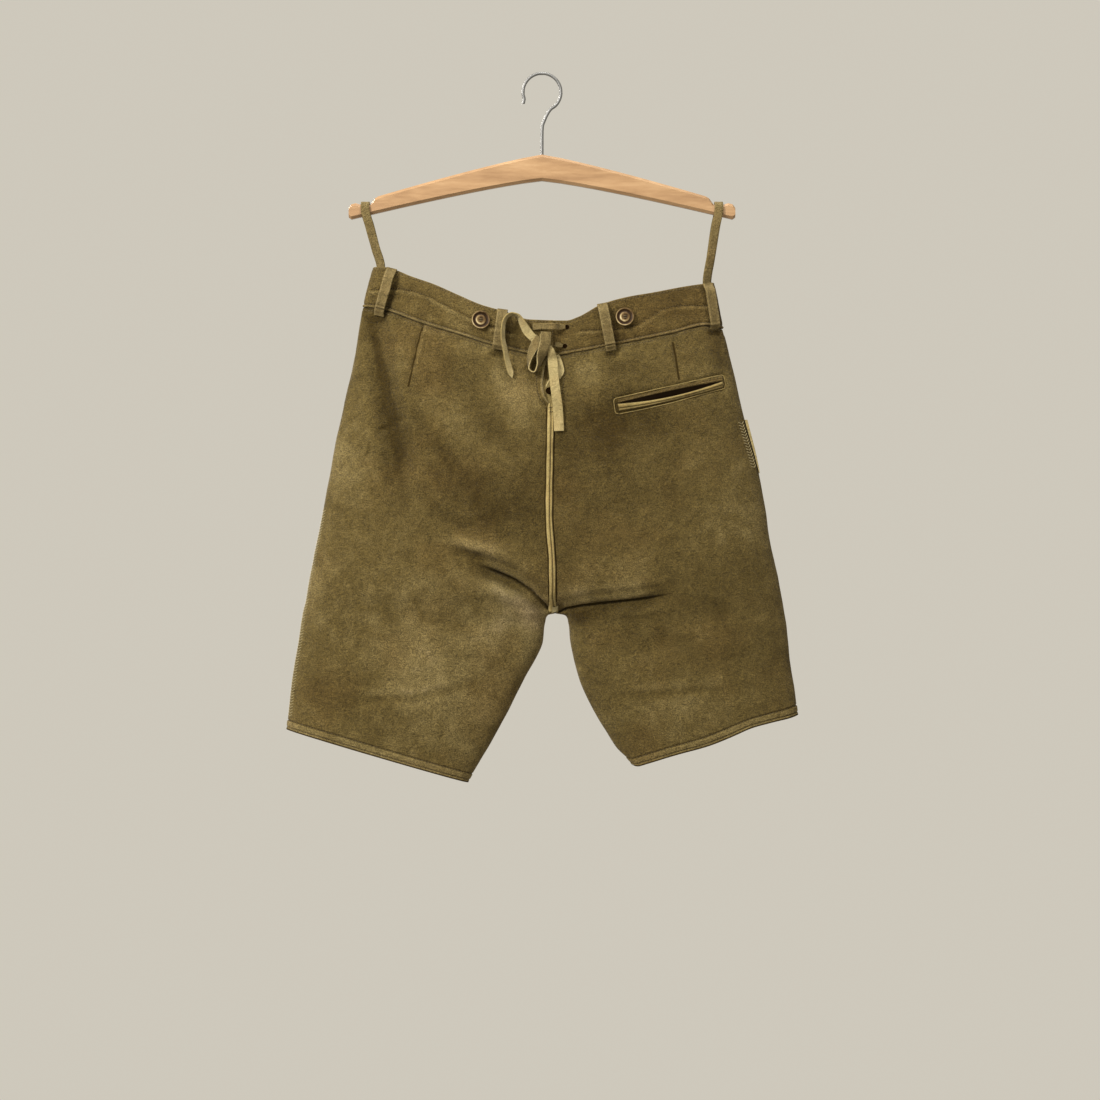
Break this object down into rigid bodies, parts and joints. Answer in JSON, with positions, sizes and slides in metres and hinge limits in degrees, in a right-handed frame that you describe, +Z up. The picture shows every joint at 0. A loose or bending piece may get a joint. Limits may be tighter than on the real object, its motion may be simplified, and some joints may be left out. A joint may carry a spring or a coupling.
{
  "type": "lederhosen on a clothes hanger",
  "caption": "Short leather trousers with belt loops, horn buttons, a laced back vent and a welt pocket, hanging by two leather loops from a wooden hanger with a wire hook.",
  "frame": {"origin": "inside top of the hanger's hook, where a rail or wall peg carries it", "axes": "+Z up, +X to the wearer's right, the wearer's back faces -Y"},
  "size_m": [0.587, 0.0755, 0.8165],
  "materials": {
    "leather": "olive brown nubuck with a short nap, mottled by wear",
    "pale_leather": "pale yellow split leather, matt",
    "horn": "turned horn, half gloss",
    "wood": "beech with a thin clear coat",
    "steel": "plain drawn wire"
  },
  "bodies": {
    "root": {"back_left": "leather", "back_right": "leather", "front_left": "leather", "front_right": "leather", "waistband_back_left": "leather", "waistband_back_right": "leather", "waistband_front_left": "leather", "waistband_front_right": "leather", "front_flap": "leather", "vent_gusset": "leather", "pocket_bag": "leather", "welt_upper": "leather", "welt_lower": "leather", "centre_back_strip": "pale_leather", "knife_pocket_edge": "pale_leather", "belt_loop_side_left": "leather", "belt_loop_back_left": "leather", "belt_loop_back_right": "leather", "belt_loop_side_right": "leather", "belt_loop_front_left": "leather", "belt_loop_front_right": "leather", "brace_button_back_left": "horn", "brace_button_back_right": "horn", "brace_button_front_left": "horn", "brace_button_front_right": "horn", "flap_button_left": "horn", "flap_button_right": "horn", "lace_run_upper": "leather", "lace_run_lower": "leather", "lace_knot": "leather", "lace_bow": "leather", "lace_bow_ear": "pale_leather", "lace_end_left": "pale_leather", "lace_end_right": "pale_leather", "hanging_loop_left": "leather", "hanging_loop_right": "leather", "hanger_body": "wood", "hanger_hook": "steel"}
  },
  "joints": []
}
